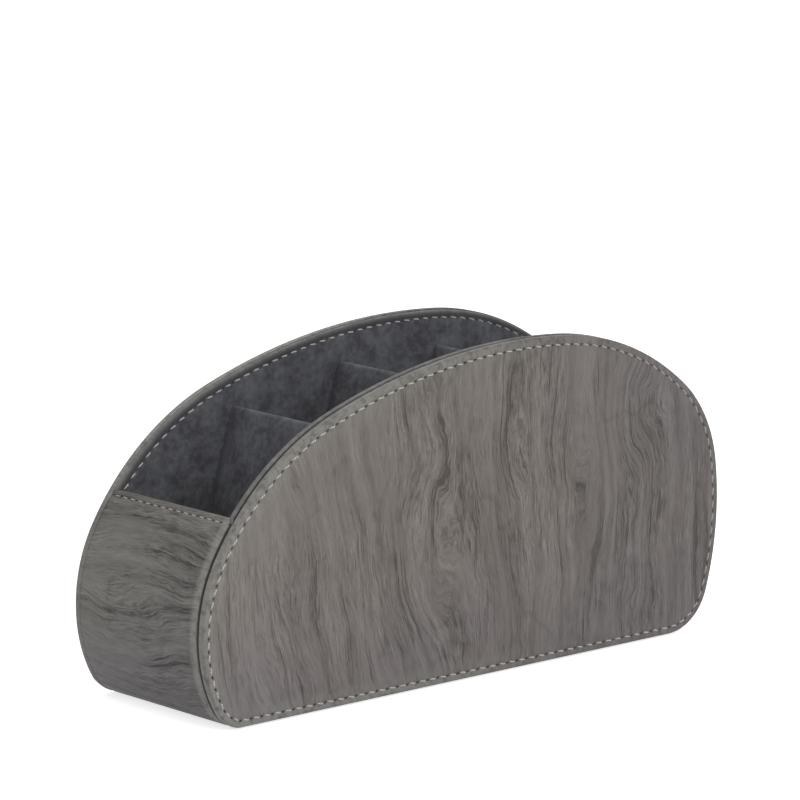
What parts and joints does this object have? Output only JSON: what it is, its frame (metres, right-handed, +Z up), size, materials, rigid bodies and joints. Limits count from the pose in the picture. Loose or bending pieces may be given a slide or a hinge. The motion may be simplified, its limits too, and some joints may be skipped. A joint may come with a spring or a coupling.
{
  "type": "remote control holder",
  "caption": "Rounded, stiffened leather desk holder with leaning suede-lined compartments that keep remote controls upright.",
  "frame": {"origin": "on the table, under the centre of the holder's box", "axes": "+Z up; +X from the low front wall to the tall back wall; +Y to the left side panel"},
  "size_m": [0.26, 0.076, 0.1276],
  "materials": {
    "wood_grain_leather": "matt, wood-grain print",
    "band_leather": "matt, wood-grain print",
    "edging_leather": "matt",
    "hardboard": "raw board, hidden",
    "suede_lining": "napped suede",
    "thread": "twisted thread",
    "felt": "felt"
  },
  "bodies": {
    "root": {"back_wall_stitches": "thread", "band_board": "hardboard", "band_cover": "band_leather", "band_lining": "suede_lining", "base_pad": "felt", "divider_1_board": "hardboard", "divider_1_sleeve": "suede_lining", "divider_2_board": "hardboard", "divider_2_sleeve": "suede_lining", "divider_3_board": "hardboard", "divider_3_sleeve": "suede_lining", "divider_4_board": "hardboard", "divider_4_sleeve": "suede_lining", "front_wall_stitches": "thread", "left_inner_board": "hardboard", "left_inner_edging": "edging_leather", "left_inner_stitches": "thread", "left_lining": "suede_lining", "left_outer_board": "hardboard", "left_outer_cover": "wood_grain_leather", "left_outer_stitches": "thread", "right_inner_board": "hardboard", "right_inner_edging": "edging_leather", "right_inner_stitches": "thread", "right_lining": "suede_lining", "right_outer_board": "hardboard", "right_outer_cover": "wood_grain_leather", "right_outer_stitches": "thread"}
  },
  "joints": []
}
